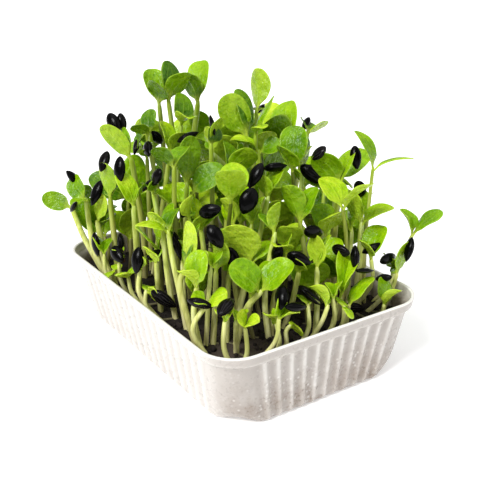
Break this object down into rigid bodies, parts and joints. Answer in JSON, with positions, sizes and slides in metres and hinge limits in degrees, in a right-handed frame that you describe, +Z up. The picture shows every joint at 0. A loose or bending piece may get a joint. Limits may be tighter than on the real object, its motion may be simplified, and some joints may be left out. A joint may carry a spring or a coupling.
{
  "type": "tray of sunflower microgreens",
  "caption": "Rectangular ribbed translucent tray of potting soil with a dense stand of sunflower sprouts, some still wearing black seed hulls; stands flat on its base.",
  "frame": {"origin": "middle of the tray's flat underside, on the surface it stands on", "axes": "+Z up, X along the tray's short side, Y along its long side; the corner nearest the viewer in the picture is towards -X, -Y"},
  "size_m": [0.1253, 0.1478, 0.1214],
  "materials": {
    "tray_plastic": "milky translucent thermoformed sheet",
    "potting_soil": "damp dark peat, matte",
    "sprout_green": "fresh leaf, satin",
    "hull_black": "glossy black seed hull with faint grey stripes"
  },
  "bodies": {
    "root": {"tray": "tray_plastic", "soil": "potting_soil", "sprout_clump_01": "sprout_green", "sprout_clump_02": "sprout_green", "sprout_clump_03": "sprout_green", "sprout_clump_04": "sprout_green", "sprout_clump_05": "sprout_green", "sprout_clump_06": "sprout_green", "sprout_clump_07": "sprout_green", "sprout_clump_08": "sprout_green", "sprout_clump_09": "sprout_green", "sprout_clump_10": "sprout_green", "sprout_clump_11": "sprout_green", "sprout_clump_12": "sprout_green", "sprout_clump_13": "sprout_green", "sprout_clump_14": "sprout_green", "sprout_clump_15": "sprout_green", "sprout_clump_16": "sprout_green", "sprout_clump_17": "sprout_green", "sprout_clump_18": "sprout_green", "sprout_clump_19": "sprout_green", "sprout_clump_20": "sprout_green", "sprout_clump_21": "sprout_green", "sprout_clump_22": "sprout_green", "sprout_clump_23": "sprout_green", "sprout_clump_24": "sprout_green", "sprout_clump_25": "sprout_green", "sprout_clump_26": "sprout_green", "sprout_clump_27": "sprout_green", "sprout_clump_28": "sprout_green", "sprout_clump_29": "sprout_green", "sprout_clump_30": "sprout_green", "sprout_clump_31": "sprout_green", "sprout_clump_32": "sprout_green", "sprout_clump_33": "sprout_green", "sprout_clump_34": "sprout_green", "sprout_clump_35": "sprout_green", "sprout_clump_36": "sprout_green", "sprout_clump_37": "sprout_green", "sprout_clump_38": "sprout_green", "sprout_clump_39": "sprout_green", "sprout_clump_40": "sprout_green", "sprout_clump_41": "sprout_green", "sprout_clump_42": "sprout_green", "sprout_clump_43": "sprout_green", "sprout_clump_44": "sprout_green", "sprout_clump_45": "sprout_green", "seed_hull_01": "hull_black", "seed_hull_02": "hull_black", "seed_hull_03": "hull_black", "seed_hull_04": "hull_black", "seed_hull_05": "hull_black", "seed_hull_06": "hull_black", "seed_hull_07": "hull_black", "seed_hull_08": "hull_black", "seed_hull_09": "hull_black", "seed_hull_10": "hull_black", "seed_hull_11": "hull_black", "seed_hull_12": "hull_black", "seed_hull_13": "hull_black"}
  },
  "joints": []
}
